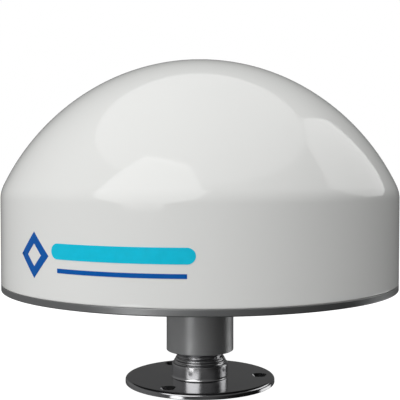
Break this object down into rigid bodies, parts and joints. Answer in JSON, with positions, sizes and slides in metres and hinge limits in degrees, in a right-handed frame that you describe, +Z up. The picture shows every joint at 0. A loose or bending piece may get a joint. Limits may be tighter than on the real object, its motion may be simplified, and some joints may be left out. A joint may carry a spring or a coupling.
{
  "type": "gnss receiver",
  "caption": "Satellite-navigation receiver in a glossy white dome on a grey base plate and hub, screwed onto a threaded deck flange.",
  "frame": {"origin": "centre of the deck flange's underside, on the thread's axis", "axes": "+Z up along the thread's axis towards the dome's crown; +X through one deck hole; -Y is the front, where the badge is seen at the left"},
  "size_m": [0.208, 0.2081, 0.1713],
  "materials": {
    "polished_steel": "polished stainless steel, dark mirror finish",
    "stud_steel": "turned stainless steel, satin, with bright thread crests",
    "hub_metal": "turned and anodised aluminium, satin grey",
    "bush_steel": "machined stainless steel",
    "plate_metal": "machined and anodised aluminium, satin grey",
    "post_metal": "turned aluminium",
    "ground_metal": "chromate-finished aluminium, satin",
    "screw_steel": "stainless steel, satin",
    "brass": "plain machined brass",
    "seal_rubber": "smooth black rubber",
    "radome_gelcoat": "glossy white gelcoat",
    "badge_cyan_film": "gloss cyan film",
    "badge_blue_film": "gloss blue film",
    "vent_plastic": "moulded black plastic",
    "membrane_film": "white porous film",
    "nickel_plate": "nickel-plated brass",
    "insert_plastic": "moulded dark plastic",
    "gold_contact": "gold-plated contact metal",
    "wire_sleeve": "extruded wire insulation",
    "plug_nylon": "natural nylon",
    "board_laminate": "green solder mask on glass laminate",
    "tinned_steel": "tin-plated sheet",
    "chip_epoxy": "black moulding compound",
    "cell_steel": "nickel-plated steel can",
    "patch_ceramic": "fired ceramic, matt",
    "patch_copper": "bare copper foil",
    "coax_jacket": "brown fluoropolymer jacket"
  },
  "bodies": {
    "mount": {"deck_flange": "polished_steel", "mount_stud": "stud_steel"},
    "seal": {"thread_seal": "seal_rubber"},
    "head": {"hub": "hub_metal", "thread_bush": "bush_steel", "hub_seal": "seal_rubber", "hub_screws": "screw_steel", "base_plate": "plate_metal", "base_seal": "seal_rubber", "base_screws": "screw_steel", "radome_inserts": "brass", "radome": "radome_gelcoat", "badge_cyan": "badge_cyan_film", "badge_blue": "badge_blue_film", "vent_body": "vent_plastic", "vent_membrane": "membrane_film", "vent_nut": "vent_plastic", "connector_shell": "nickel_plate", "connector_insert": "insert_plastic", "connector_pins": "gold_contact", "connector_nut": "nickel_plate", "connector_seal": "seal_rubber", "harness_wires": "wire_sleeve", "harness_plug": "plug_nylon", "board_header": "plug_nylon", "receiver_board": "board_laminate", "receiver_shield": "tinned_steel", "board_chips": "chip_epoxy", "cell_holder": "insert_plastic", "backup_cell": "cell_steel", "board_standoffs": "brass", "board_screws": "screw_steel", "antenna_posts": "post_metal", "ground_plane": "ground_metal", "ground_screws": "screw_steel", "lna_board": "board_laminate", "lna_shield": "tinned_steel", "lna_screws": "screw_steel", "lower_patch": "patch_ceramic", "upper_patch": "patch_ceramic", "patch_metal": "patch_copper", "feed_pins": "gold_contact", "patch_screw": "brass", "coax_jumper": "coax_jacket", "coax_plugs": "gold_contact", "coax_sockets": "gold_contact"}
  },
  "joints": [
    {"name": "head_lift", "type": "slide", "parent": "mount", "child": "seal", "axis": [0, 0, 1], "range_m": [-0.00333, 0.01543]},
    {"name": "head_turn", "type": "hinge", "parent": "seal", "child": "head", "pos_m": [0, 0, 0.03], "axis": [0, 0, 1], "range_deg": [-660, 3060]}
  ],
  "couplings": [
    {"joint": "head_lift", "follows": "head_turn", "m_per_rad": 0.00028875}
  ]
}
